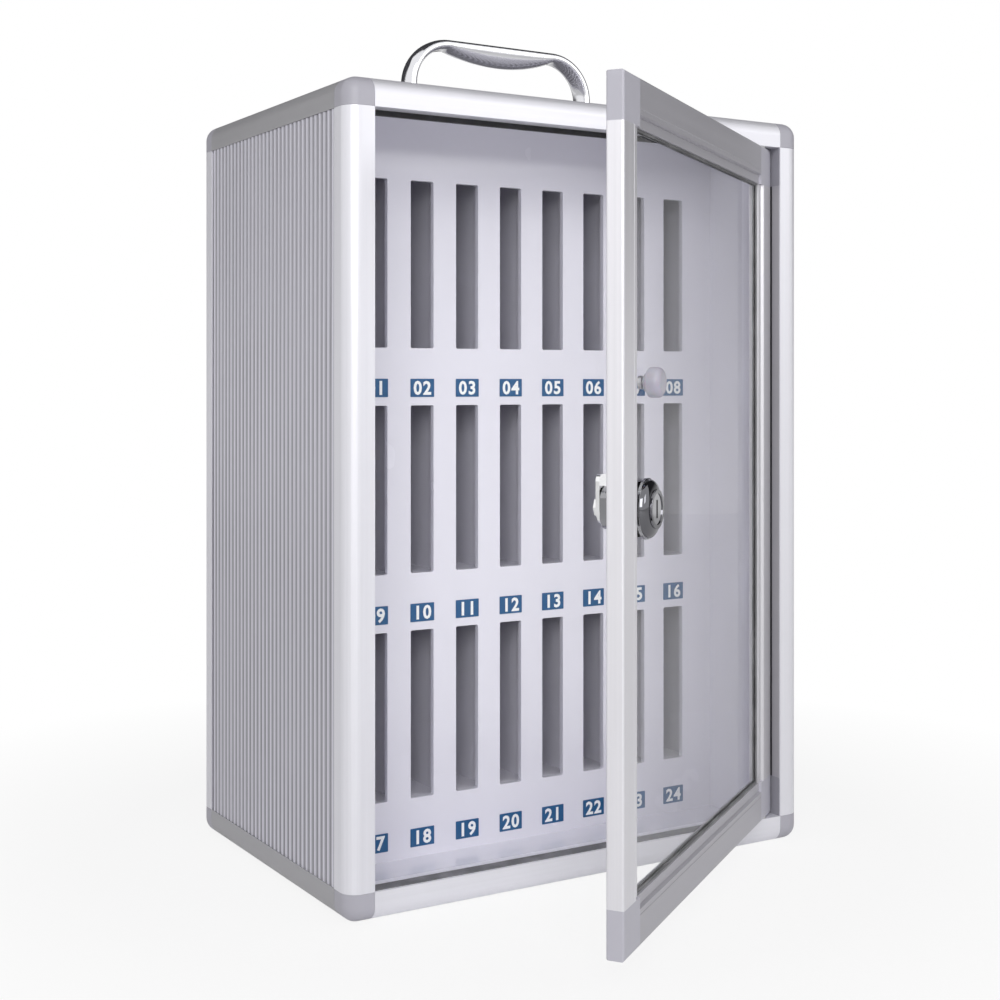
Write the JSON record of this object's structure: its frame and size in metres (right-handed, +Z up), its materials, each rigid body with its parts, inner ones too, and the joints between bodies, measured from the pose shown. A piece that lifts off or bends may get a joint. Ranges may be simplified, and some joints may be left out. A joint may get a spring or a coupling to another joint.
{
  "type": "phone locker box",
  "caption": "Portable aluminium phone locker with a slotted rack behind a hinged clear door, a cam lock, a pull knob and a carrying handle.",
  "frame": {"origin": "centre of the cabinet's underside, on the face it stands on", "axes": "+Z up, +X to the right seen from the front, -Y out of the door opening"},
  "size_m": [0.28, 0.3252, 0.4445],
  "materials": {
    "frame_aluminium": "satin anodised extrusion",
    "corner_plastic": "moulded grey plastic",
    "reeded_sheet": "silver reeded sheet",
    "bottom_sheet": "plain silver sheet",
    "lining_board": "white glossy lining",
    "rack_board": "white glossy board",
    "number_plate": "blue printed plate",
    "chrome": "bright chrome plating",
    "steel": "zinc plated steel",
    "nylon": "natural nylon",
    "rubber": "black rubber",
    "clear_pane": "clear acrylic",
    "knob_plastic": "pale translucent plastic"
  },
  "bodies": {
    "cabinet": {"front_left_post": "frame_aluminium", "front_right_post": "frame_aluminium", "rear_left_post": "frame_aluminium", "rear_right_post": "frame_aluminium", "front_bottom_rail": "frame_aluminium", "front_top_rail": "frame_aluminium", "rear_bottom_rail": "frame_aluminium", "rear_top_rail": "frame_aluminium", "left_bottom_rail": "frame_aluminium", "left_top_rail": "frame_aluminium", "right_bottom_rail": "frame_aluminium", "right_top_rail": "frame_aluminium", "front_bottom_left_corner": "corner_plastic", "front_top_left_corner": "corner_plastic", "front_bottom_right_corner": "corner_plastic", "front_top_right_corner": "corner_plastic", "rear_bottom_left_corner": "corner_plastic", "rear_top_left_corner": "corner_plastic", "rear_bottom_right_corner": "corner_plastic", "rear_top_right_corner": "corner_plastic", "left_panel": "reeded_sheet", "right_panel": "reeded_sheet", "rear_panel": "reeded_sheet", "top_panel": "reeded_sheet", "bottom_panel": "bottom_sheet", "floor_board": "lining_board", "ceiling_board": "lining_board", "left_lining": "lining_board", "right_lining": "lining_board", "rear_lining": "lining_board", "rack_front_panel": "rack_board", "rack_dividers": "rack_board", "rack_shelves": "rack_board", "number_plates": "number_plate", "carry_handle": "chrome", "handle_screws": "steel", "hinge_pins": "steel", "lock_keeper": "steel", "keeper_screws": "steel", "hinge_washers": "nylon", "door_seals": "rubber", "sill_strip": "rubber"},
    "door": {"door_free_bottom_corner": "corner_plastic", "door_free_top_corner": "corner_plastic", "door_hinge_bottom_corner": "corner_plastic", "door_hinge_top_corner": "corner_plastic", "door_free_stile": "frame_aluminium", "door_hinge_stile": "frame_aluminium", "door_bottom_rail": "frame_aluminium", "door_top_rail": "frame_aluminium", "door_pane": "clear_pane", "pane_gasket": "rubber", "pull_knob": "knob_plastic", "knob_screw": "steel", "lock_body": "chrome", "lock_nut": "chrome"},
    "lock": {"lock_plug": "chrome", "lock_cam": "chrome", "cam_screw": "steel"}
  },
  "joints": [
    {"name": "door_hinge", "type": "hinge", "parent": "cabinet", "child": "door", "pos_m": [0.114, -0.0905, 0.2], "axis": [0, 0, 1], "range_deg": [-35, 85]},
    {"name": "lock_turn", "type": "hinge", "parent": "door", "child": "lock", "pos_m": [-0.04978, -0.20616, 0.2], "axis": [0.5736, -0.8192, 0], "range_deg": [0, 180]}
  ]
}
